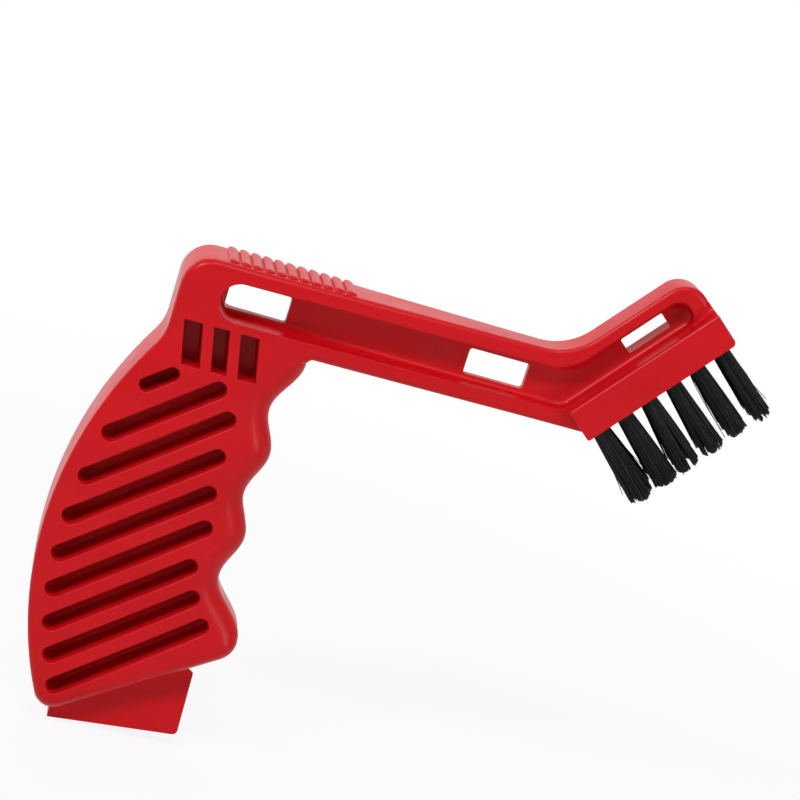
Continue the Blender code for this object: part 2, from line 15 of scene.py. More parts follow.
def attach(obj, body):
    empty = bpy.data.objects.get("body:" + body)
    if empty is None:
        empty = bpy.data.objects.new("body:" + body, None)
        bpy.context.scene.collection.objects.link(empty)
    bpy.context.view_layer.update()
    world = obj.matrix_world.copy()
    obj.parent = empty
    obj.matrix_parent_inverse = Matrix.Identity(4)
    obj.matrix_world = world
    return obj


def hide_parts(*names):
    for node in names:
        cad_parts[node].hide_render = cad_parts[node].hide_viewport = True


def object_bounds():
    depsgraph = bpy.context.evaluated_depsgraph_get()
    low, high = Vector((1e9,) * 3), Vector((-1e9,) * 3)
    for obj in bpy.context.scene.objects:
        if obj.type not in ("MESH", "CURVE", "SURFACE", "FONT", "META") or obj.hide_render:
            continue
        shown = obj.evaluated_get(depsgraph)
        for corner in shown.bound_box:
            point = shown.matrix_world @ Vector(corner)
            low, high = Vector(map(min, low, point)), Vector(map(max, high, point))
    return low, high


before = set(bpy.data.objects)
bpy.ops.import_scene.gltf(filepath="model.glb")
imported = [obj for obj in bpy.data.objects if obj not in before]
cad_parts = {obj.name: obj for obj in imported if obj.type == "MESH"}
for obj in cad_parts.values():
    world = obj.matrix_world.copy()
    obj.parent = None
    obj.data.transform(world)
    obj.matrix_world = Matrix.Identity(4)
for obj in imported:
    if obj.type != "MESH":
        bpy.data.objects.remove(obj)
packed_low, packed_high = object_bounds()

# Blank of the handle
# The real handle is one shot of glossy red plastic in a two-part mould. The blank is its side outline with
# rounded rims: small and crisp on the beam and the back, broad and soft where the fingers close round it.
GRIP_THICKNESS = 0.0240

ARM_RISE = 0.0518
ARM_HEIGHT = 0.0229
ARM_REACH = 0.1126
ARM_BACK = 0.0107
ARM_CORNER_RADIUS = 0.0095
BEND_RADIUS = 0.0200

HEAD_ANGLE = math.radians(50.3)
HEAD_REACH = 0.0444
HEAD_DEPTH = 0.0244
HEAD_END_RADIUS = 0.0080
HEAD_END_RECESS = 0.00005
BLOCK_LENGTH = 0.0550
BLOCK_HEIGHT = 0.0116

BACK_REACH = 0.0307
BACK_RADIUS = 0.1280
BACK_DROP = 0.0210
NAPE_RADIUS = 0.0150
HEEL_RADIUS = 0.0060
UNDERSIDE_ANGLE = math.radians(32.0)
ROOT_REACH = 0.0336
ROOT_LENGTH = 0.0033
ROOT_RADIUS = 0.0016
FIRST_GROOVE_DROP = 0.0160
GROOVE_PITCH = 0.0280
GROOVE_COUNT = 3
GROOVE_DEPTH = 0.0043
FRONT_REACH = 0.0313
TOE_REACH = 0.0386
TOE_DROP = 0.0198
TOE_RADIUS = 0.0080

ARM_TOP = ARM_RISE + ARM_HEIGHT
HALF_GRIP = GRIP_THICKNESS / 2
BLOCK_START = HEAD_REACH - BLOCK_LENGTH
BLOCK_TOP_DEPTH = HEAD_DEPTH - BLOCK_HEIGHT
HEAD_ALONG = Vector((math.cos(HEAD_ANGLE), math.sin(HEAD_ANGLE)))
HEAD_DOWN = Vector((math.sin(HEAD_ANGLE), -math.cos(HEAD_ANGLE)))
BEND_CORNER = Vector((ARM_REACH, ARM_TOP))
BACK_CENTRE = Vector((BACK_RADIUS - BACK_REACH, -BACK_DROP))

# Each rim: how far it is rounded, how deep the side falls towards it, and how far in that fall begins
BEAM_RIM = (0.0024, 0.0002, 0.0030)
BACK_RIM = (0.0015, 0.0013, 0.0095)
UNDER_RIM = (0.0036, 0.0011, 0.0080)
FINGER_RIM = (0.0056, 0.0022, 0.0140)

ARC_STEP = math.radians(5.0)
BACK_STEPS = 30
GROOVE_STEPS = 14
RIM_STEPS = 8
RIM_EASES = 10


def head_point(along, depth):
    """A point of the head, measured along its top edge from the bend and square down from that edge."""
    return BEND_CORNER + HEAD_ALONG * along + HEAD_DOWN * depth


def arc(centre, radius, start, end):
    """Points on an arc from one angle to another, both ends included."""
    steps = max(2, math.ceil(abs(end - start) / ARC_STEP))
    angles = [start + (end - start) * step / steps for step in range(steps + 1)]
    return [centre + Vector((math.cos(angle), math.sin(angle))) * radius for angle in angles]


def rounded_corner(before, corner, after, radius):
    """Points of the arc that touches the two lines meeting at a corner."""
    back = (before - corner).normalized()
    ahead = (after - corner).normalized()
    half = back.angle(ahead) / 2
    centre = corner + (back + ahead).normalized() * (radius / math.sin(half))
    first = corner + back * (radius / math.tan(half)) - centre
    last = corner + ahead * (radius / math.tan(half)) - centre
    start = math.atan2(first.y, first.x)
    turn = (math.atan2(last.y, last.x) - start + math.pi) % math.tau - math.pi
    return arc(centre, radius, start, start + turn)


def finger_side():
    """The finger grooves from the toe up to the arm: smooth waves between each crest and valley."""
    crest_z = ARM_RISE - ROOT_LENGTH
    valley_z = crest_z - FIRST_GROOVE_DROP
    turns = [(ROOT_REACH, crest_z)]
    for groove in range(GROOVE_COUNT):
        turns.append((FRONT_REACH - GROOVE_DEPTH, valley_z))
        if groove < GROOVE_COUNT - 1:
            turns.append((FRONT_REACH, valley_z - GROOVE_PITCH / 2))
            valley_z -= GROOVE_PITCH
    turns.append((TOE_REACH, valley_z - TOE_DROP))
    turns.reverse()
    points = []
    for (x0, z0), (x1, z1) in zip(turns, turns[1:]):
        for step in range(1, GROOVE_STEPS + 1):
            share = step / GROOVE_STEPS
            ease = (1 - math.cos(math.pi * share)) / 2
            points.append(Vector((x0 + (x1 - x0) * ease, z0 + (z1 - z0) * share)))
    return points, Vector(turns[0])


def underside(toe):
    """The heel's arc, the slanted underside and the toe's arc, from back to front."""
    toe_centre = toe - Vector((TOE_RADIUS, 0))
    slope = Vector((-math.cos(UNDERSIDE_ANGLE), -math.sin(UNDERSIDE_ANGLE)))
    normal = Vector((math.sin(UNDERSIDE_ANGLE), -math.cos(UNDERSIDE_ANGLE)))
    offset = toe_centre + normal * (TOE_RADIUS - HEEL_RADIUS) - BACK_CENTRE
    reach = -offset.dot(slope)
    travel = reach + math.sqrt(reach ** 2 - offset.length_squared + (BACK_RADIUS - HEEL_RADIUS) ** 2)
    heel_centre = BACK_CENTRE + offset + slope * travel
    outward = heel_centre - BACK_CENTRE
    heel_start = math.atan2(outward.y, outward.x) % math.tau
    heel_end = math.atan2(normal.y, normal.x) % math.tau
    heel_arc = arc(heel_centre, HEEL_RADIUS, heel_start, heel_end)
    toe_arc = arc(toe_centre, TOE_RADIUS, heel_end, math.tau)
    return heel_arc + toe_arc


def palm_side(heel):
    """The upright back of the arm, the nape's hollow arc and the long arc of the back, going down."""
    nape_x = -ARM_BACK - NAPE_RADIUS
    reach = BACK_RADIUS + NAPE_RADIUS
    nape = Vector((nape_x, BACK_CENTRE.y + math.sqrt(reach ** 2 - (nape_x - BACK_CENTRE.x) ** 2)))
    inward = BACK_CENTRE - nape
    outward = nape - BACK_CENTRE
    down = heel - BACK_CENTRE
    points = arc(nape, NAPE_RADIUS, 0, math.atan2(inward.y, inward.x))
    start = math.atan2(outward.y, outward.x)
    end = math.atan2(down.y, down.x) % math.tau
    for step in range(1, BACK_STEPS):
        angle = start + (end - start) * step / BACK_STEPS
        points.append(BACK_CENTRE + Vector((math.cos(angle), math.sin(angle))) * BACK_RADIUS)
    return points


def blank_outline():
    """The side outline, counter-clockwise, with the rim of each of its points."""
    fingers, toe = finger_side()
    under = underside(toe)
    palm = palm_side(under[0])
    middle_depth = BLOCK_TOP_DEPTH + BLOCK_HEIGHT / 2
    end_along = HEAD_REACH - HEAD_END_RECESS
    block_corner = head_point(BLOCK_START, HEAD_DEPTH)
    arm_end = Vector((block_corner.x, ARM_RISE))
    inside_end = head_point(end_along, middle_depth)
    head_corner = head_point(end_along, 0)
    arm_corner = Vector((-ARM_BACK, ARM_TOP))
    stretches = [
        (rounded_corner(fingers[-1], Vector((ROOT_REACH, ARM_RISE)), arm_end, ROOT_RADIUS), BEAM_RIM),
        ([arm_end, head_point(BLOCK_START + BLOCK_HEIGHT / 2, middle_depth), inside_end], BEAM_RIM),
        (rounded_corner(inside_end, head_corner, BEND_CORNER, HEAD_END_RADIUS), BEAM_RIM),
        (rounded_corner(head_corner, BEND_CORNER, arm_corner, BEND_RADIUS), BEAM_RIM),
        (rounded_corner(BEND_CORNER, arm_corner, palm[0], ARM_CORNER_RADIUS), BEAM_RIM),
        (palm, BACK_RIM),
        (under, UNDER_RIM),
        (fingers, FINGER_RIM),
    ]
    points = [point for stretch, _ in stretches for point in stretch]
    return points, eased([Vector(rim) for stretch, rim in stretches for _ in stretch])


def mitres(points):
    """The outward mitre at each point of a counter-clockwise outline."""
    found = []
    for index, point in enumerate(points):
        before = (point - points[index - 1]).normalized()
        after = (points[(index + 1) % len(points)] - point).normalized()
        first, second = Vector((before.y, -before.x)), Vector((after.y, -after.x))
        middle = (first + second).normalized()
        found.append(middle / middle.dot(first))
    return found


def mesh_object(name, bm):
    """Turns a bmesh into an object at the origin, with its faces pointing out."""
    bmesh.ops.recalc_face_normals(bm, faces=bm.faces)
    mesh = bpy.data.meshes.new(name)
    bm.to_mesh(mesh)
    bm.free()
    item = bpy.data.objects.new(name, mesh)
    bpy.context.scene.collection.objects.link(item)
    return item


def push(bm, face, travel):
    """Extrudes a face by a travel and returns the face at its new place."""
    grown = bmesh.ops.extrude_face_region(bm, geom=[face] + face.edges[:] + face.verts[:])["geom"]
    moved = next(item for item in grown if isinstance(item, bmesh.types.BMFace))
    bmesh.ops.translate(bm, verts=moved.verts, vec=travel)
    return moved


def quarter_turn(steps):
    """Evenly spaced angles from nought to a right angle."""
    return [math.pi / 2 * step / steps for step in range(steps + 1)]


def grow_rings(bm, points, rings):
    """Extrudes an outline ring by ring. A ring gives each point's way out along its mitre, and its y."""
    normals = mitres(points)
    station = bm.verts.layers.int.get("station") or bm.verts.layers.int.new("station")
    corners = [bm.verts.new((point.x, 0, point.y)) for point in points]
    for index, corner in enumerate(corners):
        corner[station] = index
    front = bm.faces.new(corners)
    for number, ring in enumerate(rings):
        if number:
            front = push(bm, front, (0, 0, 0))
        for vertex in front.verts:
            index = vertex[station]
            outward, y = ring[index]
            place = points[index] + normals[index] * outward
            vertex.co = (place.x, y, place.y)


def eased(values):
    """Evens out values round an outline, so that they change softly from one stretch to the next."""
    for _ in range(RIM_EASES):
        values = [(values[i - 1] + values[i] + values[(i + 1) % len(values)]) / 3 for i in range(len(values))]
    return values


def blank(points, rims):
    """The outline's face, extruded through the thickness ring by ring along its rounded rims."""
    turns = quarter_turn(RIM_STEPS)
    levels = [(turn, 1) for turn in reversed(turns)] + [(turn, -1) for turn in turns]
    rings = []
    for turn, side in levels:
        inward, drop = 1 - math.cos(turn), 1 - math.sin(turn)
        rings.append([(-rim.x * inward, side * (HALF_GRIP - rim.x * drop)) for rim in rims])
    bm = bmesh.new()
    grow_rings(bm, points, rings)
    return mesh_object("handle_moulding", bm)


outline_points, outline_rims = blank_outline()
handle = blank(outline_points, outline_rims)


# Thumb ribs
# A run of low ribs across the top of the arm stops the thumb from sliding. Each rises steeply on the side of
# the palm, is nearly flat on top, and sinks into the arm at both ends like the tip of a tongue.
RIB_COUNT = 11
RIB_PITCH = 0.00372
RIB_START = 0.0016
RIB_HEIGHT = 0.0011
RIB_SPAN = 0.0208
RIB_END = 0.0013
RIB_TONGUE = 0.0007
RIB_END_STEPS = 6
RIB_END_SHARE = 0.20
RIB_END_DROP = 0.00085
RIB_SINK = 0.00008
RIB_FOOT_SHARE = -1.5
RIB_PROFILE_SHARES = ((0.01, -0.10), (0.05, 0.40), (0.10, 0.70), (0.18, 0.92), (0.28, 1.00), (0.42, 0.98),
                      (0.58, 0.90), (0.72, 0.76), (0.84, 0.56), (0.93, 0.28), (0.99, -0.10))


def thumb_ribs():
    """The ribs as one strip, extruded across the arm ring by ring, its foot sunk in the arm."""
    outline = [(RIB_START, RIB_FOOT_SHARE), (RIB_START + RIB_COUNT * RIB_PITCH, RIB_FOOT_SHARE)]
    for rib in reversed(range(RIB_COUNT)):
        for along_share, height_share in reversed(RIB_PROFILE_SHARES):
            outline.append((RIB_START + (rib + along_share) * RIB_PITCH, height_share))
    turns = quarter_turn(RIB_END_STEPS)
    levels = [(-1, turn) for turn in turns] + [(1, turn) for turn in reversed(turns)]
    bm = bmesh.new()
    share_layer = bm.verts.layers.float.new("share")
    corners = []
    for x, share in outline:
        corners.append(bm.verts.new((x, 0, 0)))
        corners[-1][share_layer] = share
    front = bm.faces.new(corners)
    for number, (side, turn) in enumerate(levels):
        if number:
            front = push(bm, front, (0, 0, 0))
        for vertex in front.verts:
            share = vertex[share_layer]
            rise = RIB_END_SHARE + (1 - RIB_END_SHARE) * math.sin(turn)
            height = RIB_HEIGHT * (share * rise if share > 0 else share) - RIB_END_DROP * (1 - rise)
            reach = RIB_SPAN / 2 - RIB_END * (1 - math.cos(turn)) - RIB_TONGUE * (1 - max(share, 0)) ** 2
            vertex.co = (vertex.co.x, side * reach, ARM_TOP + height - RIB_SINK)
    bmesh.ops.triangulate(bm, faces=bm.faces)
    return mesh_object("thumb_ribs", bm)


def combine(target, other, operation):
    """Cuts a body with another, or joins the two, and removes the other."""
    modifier = target.modifiers.new(operation.lower(), "BOOLEAN")
    modifier.operation = operation
    modifier.solver = "EXACT"
    modifier.object = other
    result = bpy.data.meshes.new_from_object(target.evaluated_get(bpy.context.evaluated_depsgraph_get()))
    target.modifiers.remove(modifier)
    target.data = result
    bpy.data.objects.remove(other)


combine(handle, thumb_ribs(), "UNION")


# Hollows in the two sides
# Pins in the mould leave a channel along the arm and head, and blind pockets and slanted slots in the grip,
# so that the moulding stays thin. Each has a soft lip at its mouth and a fillet where its wall meets the web.
WEB_THICKNESS = 0.0026
ARM_FLANGE = 0.0053
HEAD_FLANGE = 0.0041
HEAD_END_WALL = 0.0060
CHANNEL_BACK_WALL = 0.0129
CHANNEL_BEND_RADIUS = 0.0150
CHANNEL_END_RADIUS = 0.0046
CHANNEL_LOW_RADIUS = 0.0039
CHANNEL_LEDGE_RADIUS = 0.0060
LEDGE_COVER = 0.00060

# Each stretch of the channel's edge: how far its lip and its root are rounded
FLOOR_SOFTNESS = (0.00055, 0.0026)
BACK_SOFTNESS = (0.00055, 0.0022)
CEILING_SOFTNESS = (0.0010, 0.0024)
HEAD_SOFTNESS = (0.0017, 0.0038)
LEDGE_SOFTNESS = (0.0003, 0.0036)

POCKET_WIDTHS = (0.0057, 0.0048, 0.0057)
POCKET_PITCH = 0.0089
FIRST_POCKET_SETBACK = 0.0022
POCKET_HEIGHT = 0.01375
POCKET_LEAN = 0.0028
POCKET_CEILING = 0.0028
POCKET_ROOT = 0.0006

SLOT_ANGLE = math.radians(38.0)
SLOT_PITCH = 0.00992
SLOT_TOP_OFFSET = 0.0321
SLOT_WIDTH = 0.0055
TOP_SLOT_WIDTH = 0.0045
SLOT_BACK_MARGIN = 0.0075
SLOT_FRONT_SHARES = (-0.17, 0.30, 0.47, 0.48, 0.50, 0.56, 0.53, 0.64, 0.81)
SLOT_ROOT = 0.0008

# Places along the straight runs of the channel where its roundings may change
CHANNEL_SHARES = (0.15, 0.25, 0.35, 0.45, 0.55, 0.65, 0.75, 0.85)

HOLLOW_LIP = 0.00055
LIP_EASE = 0.00003
CUT_OVERRUN = 0.0040
FILLET_STEPS = 5

HALF_WEB = WEB_THICKNESS / 2
CHANNEL_FLOOR = ARM_RISE + ARM_FLANGE
CHANNEL_CEILING = ARM_TOP - ARM_FLANGE


def hollow_cutter(name, hollows):
    """Bodies that sink the same hollows into both sides, each given by its outline and its lips and roots."""
    turns = quarter_turn(FILLET_STEPS)
    bm = bmesh.new()
    for outline, softness in hollows:
        rings = [[(lip, -(HALF_GRIP + CUT_OVERRUN)) for lip, _ in softness]]
        for turn in turns:
            inward, drop = 1 - math.sin(turn), 1 - math.cos(turn)
            rings.append([(lip * inward, lip * drop - HALF_GRIP - LIP_EASE) for lip, _ in softness])
        for turn in turns:
            inward, rise = 1 - math.cos(turn), 1 - math.sin(turn)
            rings.append([(-root * inward, -(HALF_WEB + root * rise)) for _, root in softness])
        grow_rings(bm, outline, rings)
    bmesh.ops.mirror(bm, geom=bm.verts[:] + bm.edges[:] + bm.faces[:], axis="Y", merge_dist=LIP_EASE)
    return mesh_object(name, bm)


def channel_hollow():
    """The channel between the flanges, from its round back end to its end in the head."""
    back_radius = (CHANNEL_CEILING - CHANNEL_FLOOR) / 2
    back_x = CHANNEL_BACK_WALL - ARM_BACK + back_radius
    back_middle = Vector((back_x, (CHANNEL_CEILING + CHANNEL_FLOOR) / 2))
    ledge_depth = BLOCK_TOP_DEPTH + LEDGE_COVER
    end_along = HEAD_REACH - HEAD_END_WALL
    ledge_along = (CHANNEL_FLOOR - BEND_CORNER.y - HEAD_DOWN.y * ledge_depth) / HEAD_ALONG.y
    ledge_start = head_point(ledge_along, ledge_depth)
    end_low = head_point(end_along, ledge_depth)
    end_high = head_point(end_along, HEAD_FLANGE)
    bend_along = (CHANNEL_CEILING - BEND_CORNER.y - HEAD_DOWN.y * HEAD_FLANGE) / HEAD_ALONG.y
    bend = head_point(bend_along, HEAD_FLANGE)
    back_low = Vector((back_x, CHANNEL_FLOOR))
    back_top = Vector((back_x, CHANNEL_CEILING))
    stretches = [
        ([back_low.lerp(ledge_start, share) for share in CHANNEL_SHARES], FLOOR_SOFTNESS),
        (rounded_corner(back_low, ledge_start, end_low, CHANNEL_LEDGE_RADIUS), LEDGE_SOFTNESS),
        (rounded_corner(ledge_start, end_low, end_high, CHANNEL_LOW_RADIUS), LEDGE_SOFTNESS),
        (rounded_corner(end_low, end_high, bend, CHANNEL_END_RADIUS), HEAD_SOFTNESS),
        (rounded_corner(end_high, bend, back_top, CHANNEL_BEND_RADIUS), HEAD_SOFTNESS),
        ([bend.lerp(back_top, share) for share in CHANNEL_SHARES], CEILING_SOFTNESS),
        (arc(back_middle, back_radius, math.pi / 2, math.pi * 3 / 2), BACK_SOFTNESS),
    ]
    points = [point for stretch, _ in stretches for point in stretch]
    return points, eased([Vector(softness) for stretch, softness in stretches for _ in stretch])


def slot_outlines():
    """The slanted slots with round ends, from just inside the back towards the finger grooves."""
    along = Vector((math.cos(SLOT_ANGLE), math.sin(SLOT_ANGLE)))
    across = Vector((-along.y, along.x))
    margin = Vector((SLOT_BACK_MARGIN, 0))
    outlines = []
    for index, front_share in enumerate(SLOT_FRONT_SHARES):
        line = across * (SLOT_TOP_OFFSET - index * SLOT_PITCH)
        front = line + along * ((FRONT_REACH * front_share - line.x) / along.x)
        offset = line - margin - BACK_CENTRE
        reach = offset.dot(along)
        back = line - along * (reach + math.sqrt(reach ** 2 - offset.length_squared + BACK_RADIUS ** 2))
        radius = (SLOT_WIDTH if index else TOP_SLOT_WIDTH) / 2
        outline = arc(front, radius, SLOT_ANGLE - math.pi / 2, SLOT_ANGLE + math.pi / 2)
        outlines.append(outline + arc(back, radius, SLOT_ANGLE + math.pi / 2, SLOT_ANGLE + math.pi * 3 / 2))
    return outlines


def pocket_outlines():
    """The three leaning rectangular pockets under the channel."""
    middle_z = CHANNEL_FLOOR - POCKET_CEILING - POCKET_HEIGHT / 2
    lean = Vector((POCKET_LEAN / 2, 0))
    outlines = []
    for index, width in enumerate(POCKET_WIDTHS):
        middle = Vector((index * POCKET_PITCH - FIRST_POCKET_SETBACK, middle_z))
        across, up = Vector((width / 2, 0)), Vector((0, POCKET_HEIGHT / 2))
        outlines.append([middle - across - up + lean, middle + across - up + lean,
                         middle + across + up - lean, middle - across + up - lean])
    return outlines


def even_hollows(outlines, root):
    """Hollows whose lips and roots are alike all round."""
    return [(outline, [(HOLLOW_LIP, root)] * len(outline)) for outline in outlines]


combine(handle, hollow_cutter("channel", [channel_hollow()]), "DIFFERENCE")
combine(handle, hollow_cutter("pockets", even_hollows(pocket_outlines(), POCKET_ROOT)), "DIFFERENCE")
combine(handle, hollow_cutter("slots", even_hollows(slot_outlines(), SLOT_ROOT)), "DIFFERENCE")


# Form of the sides
# The sides close in along the arm towards the neck, and fall away softly towards the rims of the grip, most
# of all under the fingers. The web in the middle keeps its thickness.
NECK_THICKNESS = 0.0134
TAPER_START = 0.0110
TAPER_END = 0.1080
TAPER_EASE = 0.0080
TAPER_EASE_SHARES = (-1, -0.5, 0, 0.5, 1)
SAMPLE_GAP = 0.00025
SIDE_GRID = 0.0022
GRID_TOLERANCE = 0.000005
MERGE_GAP = 0.000002
WEB_MARGIN_SHARE = 1.01


def arm_half_thickness(x):
    """Half the moulding's thickness: even over the grip, then closing in to the neck with eased ends."""
    total = 0
    for ease_share in TAPER_EASE_SHARES:
        share = (x + ease_share * TAPER_EASE - TAPER_START) / (TAPER_END - TAPER_START)
        total += min(max(share, 0), 1) / len(TAPER_EASE_SHARES)
    return HALF_GRIP + (NECK_THICKNESS / 2 - HALF_GRIP) * total


def cut_grid(bm, normal, start, end):
    """Cuts all but the web's faces by evenly spaced planes, so that they can follow a curved surface."""
    web_side = HALF_WEB * WEB_MARGIN_SHARE
    ahead = [face for face in bm.faces if max(abs(vertex.co.y) for vertex in face.verts) > web_side]
    for step in range(1, int((end - start) / SIDE_GRID)):
        level = start + step * SIDE_GRID
        crossing = []
        beyond = []
        for face in ahead:
            places = [vertex.co.dot(normal) for vertex in face.verts]
            if min(places) < level < max(places):
                crossing.append(face)
            elif max(places) > level:
                beyond.append(face)
        parts = crossing + [edge for face in crossing for edge in face.edges]
        parts += [vertex for face in crossing for vertex in face.verts]
        made = bmesh.ops.bisect_plane(bm, geom=list(dict.fromkeys(parts)), dist=GRID_TOLERANCE,
                                      plane_no=normal, plane_co=normal * level)
        ahead = beyond + [item for item in made["geom"] if isinstance(item, bmesh.types.BMFace)]


def shape_sides(item, points, rims):
    """Moves each point of the blank's sides in to where the finished surface lies."""
    samples = []
    for index, point in enumerate(points):
        after = (index + 1) % len(points)
        count = max(1, round((points[after] - point).length / SAMPLE_GAP))
        for step in range(count):
            share = step / count
            samples.append((point.lerp(points[after], share), rims[index].lerp(rims[after], share)))
    tree = KDTree(len(samples))
    for number, (place, _) in enumerate(samples):
        tree.insert((place.x, 0, place.y), number)
    tree.balance()
    bm = bmesh.new()
    bm.from_mesh(item.data)
    bmesh.ops.remove_doubles(bm, verts=bm.verts, dist=MERGE_GAP)
    cut_grid(bm, Vector((1, 0, 0)), min(point.x for point in points), max(point.x for point in points))
    cut_grid(bm, Vector((0, 0, 1)), min(point.y for point in points), ARM_RISE)
    bmesh.ops.triangulate(bm, faces=bm.faces)
    for vertex in bm.verts:
        place = vertex.co
        _, number, distance = tree.find((place.x, 0, place.z))
        _, drop, reach = samples[number][1]
        fall = drop * max(0, 1 - distance / reach) ** 2
        surface = arm_half_thickness(place.x) - fall
        share = max(0, abs(place.y) - HALF_WEB) / (HALF_GRIP - HALF_WEB)
        if share:
            place.y = math.copysign(HALF_WEB + share * (surface - HALF_WEB), place.y)
    bm.to_mesh(item.data)
    bm.free()


shape_sides(handle, outline_points, outline_rims)


# Pad on the web
# Towards the neck the web is a hair thicker, where the mould has a separate insert. Its back edge shows as a
# faint step across the channel's floor.
INSERT_START = 0.0720
INSERT_END = 0.1130
INSERT_RISE = 0.00012
INSERT_MARGIN = 0.0012


def web_insert():
    """A thin plate over both faces of the web."""
    bm = bmesh.new()
    length = INSERT_END - INSERT_START
    height = CHANNEL_CEILING - CHANNEL_FLOOR - 2 * INSERT_MARGIN
    middle = Vector((INSERT_START + length / 2, 0, (CHANNEL_CEILING + CHANNEL_FLOOR) / 2))
    size = Vector((length, WEB_THICKNESS + 2 * INSERT_RISE, height, 1))
    bmesh.ops.create_cube(bm, size=1, matrix=Matrix.Translation(middle) @ Matrix.Diagonal(size))
    return mesh_object("web_insert", bm)


combine(handle, web_insert(), "UNION")


# Windows
# Two windows go right through the web of the arm and one through the web of the head. Each is a rectangle
# with small round corners, where pins from both halves of the mould meet.
ARM_WINDOW_LENGTH = 0.0196
ARM_WINDOW_HEIGHT = 0.0084
ARM_WINDOW_CORNER = 0.0010
HEAD_WINDOW_CORNER = 0.0005
BACK_WINDOW_GAP = 0.0025
FRONT_WINDOW_SETBACK = 0.0306
HEAD_WINDOW_LENGTH = 0.0152
HEAD_WINDOW_HEIGHT = 0.0054
HEAD_WINDOW_GAP = 0.0015
HEAD_WINDOW_SETBACK = 0.0080


def rounded_window(bm, corners, radius):
    """Adds one window's cutter: its corner points, rounded and drawn out through the web."""
    outline = []
    for index, corner in enumerate(corners):
        outline += rounded_corner(corners[index - 1], corner, corners[(index + 1) % len(corners)], radius)
    near = bm.faces.new([bm.verts.new((point.x, -HALF_GRIP, point.y)) for point in outline])
    push(bm, near, (0, GRIP_THICKNESS, 0))


def windows():
    """The cutters of all three windows."""
    middle_z = (CHANNEL_FLOOR + CHANNEL_CEILING) / 2
    low, high = middle_z - ARM_WINDOW_HEIGHT / 2, middle_z + ARM_WINDOW_HEIGHT / 2
    bm = bmesh.new()
    for start in (CHANNEL_BACK_WALL - ARM_BACK + BACK_WINDOW_GAP, ARM_REACH - FRONT_WINDOW_SETBACK):
        end = start + ARM_WINDOW_LENGTH
        corners = [Vector(corner) for corner in ((start, low), (end, low), (end, high), (start, high))]
        rounded_window(bm, corners, ARM_WINDOW_CORNER)
    end = HEAD_REACH - HEAD_END_WALL - HEAD_WINDOW_SETBACK
    start = end - HEAD_WINDOW_LENGTH
    top = HEAD_FLANGE + HEAD_WINDOW_GAP
    bottom = top + HEAD_WINDOW_HEIGHT
    corners = [head_point(start, bottom), head_point(end, bottom)]
    corners += [head_point(end, top), head_point(start, top)]
    rounded_window(bm, corners, HEAD_WINDOW_CORNER)
    return mesh_object("windows", bm)


combine(handle, windows(), "DIFFERENCE")


# Spur
# A short blunt blade under the grip combs woollen pads. It is moulded on, less than half as thick as the
# grip, and its front edge has a slanted facet on each side, which leaves a crisp ridge.
SPUR_THICKNESS = 0.0100
SPUR_FRONT = 0.0289
SPUR_BACK = 0.0125
SPUR_DROP = 0.0794
SPUR_SLOPE = math.radians(6.0)
SPUR_CORNER = 0.0015
SPUR_FACET_LOW = 0.0022
SPUR_FACET_ANGLE = math.radians(30.0)
SPUR_FACET_TILT = math.radians(15.0)
SPUR_ROUNDING = 0.00032
SPUR_ROUNDING_STEPS = 3
SPUR_EDGE_ANGLE = math.radians(12.0)


def round_edges(bm, edges, radius, steps=FILLET_STEPS):
    """Rounds edges with a circular fillet."""
    bmesh.ops.bevel(bm, geom=edges, offset=radius, offset_type="OFFSET", segments=steps, profile=0.5,
                    affect="EDGES", clamp_overlap=False, material=-1)


def spur():
    """The tapered spur, its facets cut and its edges slightly rounded."""
    _, toe = finger_side()
    heel_low = min(underside(toe), key=lambda point: point.y)
    front_foot = Vector((SPUR_FRONT, -SPUR_DROP))
    back_foot = Vector((-SPUR_BACK, -SPUR_DROP - (SPUR_FRONT + SPUR_BACK) * math.tan(SPUR_SLOPE)))
    front_top = Vector((SPUR_FRONT, toe.y))
    back_top = Vector((-SPUR_BACK, heel_low.y + HEEL_RADIUS))
    outline = rounded_corner(back_foot, front_foot, front_top, SPUR_CORNER) + [front_top, back_top, back_foot]
    half = SPUR_THICKNESS / 2
    bm = bmesh.new()
    near = bm.faces.new([bm.verts.new((point.x, -half, point.y)) for point in outline])
    push(bm, near, (0, SPUR_THICKNESS, 0))
    across = Vector((math.sin(SPUR_FACET_ANGLE), 0, math.cos(SPUR_FACET_ANGLE)))
    for side in (-1, 1):
        low = Vector((SPUR_FRONT - SPUR_FACET_LOW, side * half, -SPUR_DROP))
        normal = across * math.sin(SPUR_FACET_TILT) + Vector((0, side * math.cos(SPUR_FACET_TILT), 0))
        bmesh.ops.bisect_plane(bm, geom=bm.verts[:] + bm.edges[:] + bm.faces[:], plane_co=low,
                               plane_no=normal, clear_outer=True)
        bmesh.ops.holes_fill(bm, edges=bm.edges)
    bmesh.ops.recalc_face_normals(bm, faces=bm.faces)
    rims = [edge for edge in bm.edges if edge.is_manifold and edge.calc_face_angle() > SPUR_EDGE_ANGLE]
    round_edges(bm, rims, SPUR_ROUNDING, SPUR_ROUNDING_STEPS)
    return mesh_object("spur", bm)


combine(handle, spur(), "UNION")


